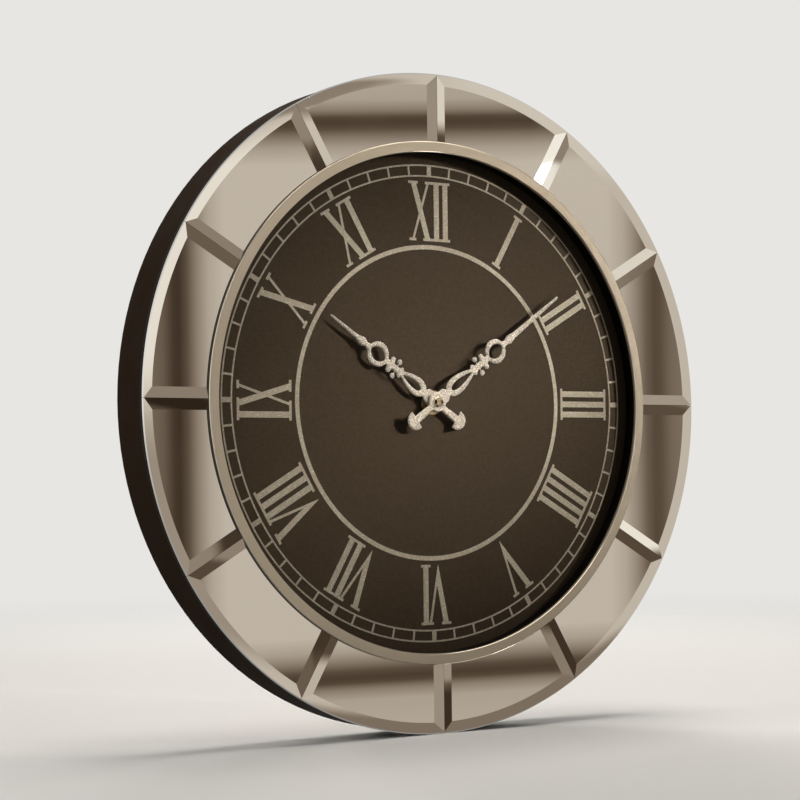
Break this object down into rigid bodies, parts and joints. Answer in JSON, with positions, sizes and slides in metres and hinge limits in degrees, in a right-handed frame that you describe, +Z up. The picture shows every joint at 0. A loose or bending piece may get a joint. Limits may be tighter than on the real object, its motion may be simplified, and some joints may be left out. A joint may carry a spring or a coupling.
{
  "type": "mirror wall clock",
  "caption": "Round wall clock with a recessed dark dial, Roman numerals and pierced hands in a ring of bevelled mirror panels, with a full quartz train behind.",
  "frame": {"origin": "on the clock's axis, in the plane of the wall behind it", "axes": "+Z up, towards twelve o'clock; the dial looks along -Y; +X is right as seen from the front"},
  "size_m": [0.5, 0.0429, 0.5],
  "materials": {
    "mirror_glass": "warm silvered mirror with raised bevelled borders",
    "champagne_metal": "spun champagne metal with bright chamfers",
    "case_dark": "dark brown moulded case",
    "wall_black": "black recess wall",
    "dial_dark": "dark bronze dial with a fine grain",
    "foil_champagne": "glittered champagne foil",
    "hand_champagne": "champagne lacquered sheet metal",
    "brass": "bright turned brass",
    "rubber": "black rubber",
    "movement_black": "black moulded housing",
    "knob_black": "fluted black knob",
    "gear_white": "natural acetal",
    "magnet_grey": "plastic-bonded magnet",
    "stator_steel": "stamped soft iron",
    "steel": "zinc plated steel",
    "copper_wire": "lacquered copper winding",
    "board_green": "lacquered circuit board",
    "battery_sleeve": "plain printed sleeve",
    "fibreboard": "smooth brown hardboard"
  },
  "bodies": {
    "clock": {"case_body": "case_dark", "back_panel": "fibreboard", "back_screws": "steel", "hanger_plate": "steel", "hanger_rivets": "steel", "mirror_panel_1": "mirror_glass", "mirror_panel_2": "mirror_glass", "mirror_panel_3": "mirror_glass", "mirror_panel_4": "mirror_glass", "mirror_panel_5": "mirror_glass", "mirror_panel_6": "mirror_glass", "mirror_panel_7": "mirror_glass", "mirror_panel_8": "mirror_glass", "mirror_panel_9": "mirror_glass", "mirror_panel_10": "mirror_glass", "mirror_panel_11": "mirror_glass", "mirror_panel_12": "mirror_glass", "bezel_ring": "champagne_metal", "dial_wall": "wall_black", "dial_plate": "dial_dark", "numerals": "foil_champagne", "minute_track": "foil_champagne", "inner_circle": "foil_champagne", "movement_case": "movement_black", "movement_cover": "movement_black", "threaded_bush": "brass", "rubber_washer": "rubber", "brass_washer": "brass", "hex_nut": "brass", "stator": "stator_steel", "coil": "copper_wire", "circuit_board": "board_green", "quartz_crystal": "steel", "battery": "battery_sleeve", "contact_plus": "steel", "contact_minus": "steel"},
    "minute": {"minute_hand": "hand_champagne", "minute_collet": "brass", "hand_nut": "brass", "centre_wheel": "brass"},
    "hour": {"hour_hand": "hand_champagne", "hour_collet": "brass", "hour_wheel": "gear_white"},
    "motion": {"motion_wheel": "gear_white"},
    "knob": {"setting_knob": "knob_black"},
    "third": {"third_wheel": "gear_white"},
    "seconds": {"seconds_wheel": "gear_white"},
    "intermediate": {"intermediate_wheel": "gear_white"},
    "rotor_body": {"rotor": "gear_white", "rotor_magnet": "magnet_grey"}
  },
  "joints": [
    {"name": "minute_turn", "type": "hinge", "parent": "clock", "child": "minute", "pos_m": [0, -0.02, 0], "axis": [0, 1, 0], "continuous": true},
    {"name": "hour_turn", "type": "hinge", "parent": "clock", "child": "hour", "pos_m": [0, -0.02, 0], "axis": [0, 1, 0], "continuous": true},
    {"name": "motion_turn", "type": "hinge", "parent": "clock", "child": "motion", "pos_m": [0.0104, -0.02, 0], "axis": [0, 1, 0], "continuous": true},
    {"name": "knob_turn", "type": "hinge", "parent": "clock", "child": "knob", "pos_m": [0.0208, -0.02, 0], "axis": [0, 1, 0], "continuous": true},
    {"name": "third_turn", "type": "hinge", "parent": "clock", "child": "third", "pos_m": [-0.0096, -0.02, 0], "axis": [0, 1, 0], "continuous": true},
    {"name": "seconds_turn", "type": "hinge", "parent": "clock", "child": "seconds", "pos_m": [0, -0.02, 0], "axis": [0, 1, 0], "continuous": true},
    {"name": "intermediate_turn", "type": "hinge", "parent": "clock", "child": "intermediate", "pos_m": [0.00487, -0.02, 0.00844], "axis": [0, 1, 0], "continuous": true},
    {"name": "rotor_turn", "type": "hinge", "parent": "clock", "child": "rotor_body", "pos_m": [0.01024, -0.02, 0.01294], "axis": [0, 1, 0], "continuous": true}
  ],
  "couplings": [
    {"joint": "hour_turn", "follows": "minute_turn", "ratio": 0.083333},
    {"joint": "motion_turn", "follows": "minute_turn", "ratio": -0.33333},
    {"joint": "knob_turn", "follows": "minute_turn", "ratio": 1},
    {"joint": "third_turn", "follows": "minute_turn", "ratio": -8},
    {"joint": "seconds_turn", "follows": "minute_turn", "ratio": 60},
    {"joint": "intermediate_turn", "follows": "minute_turn", "ratio": -300},
    {"joint": "rotor_turn", "follows": "minute_turn", "ratio": 1800}
  ]
}
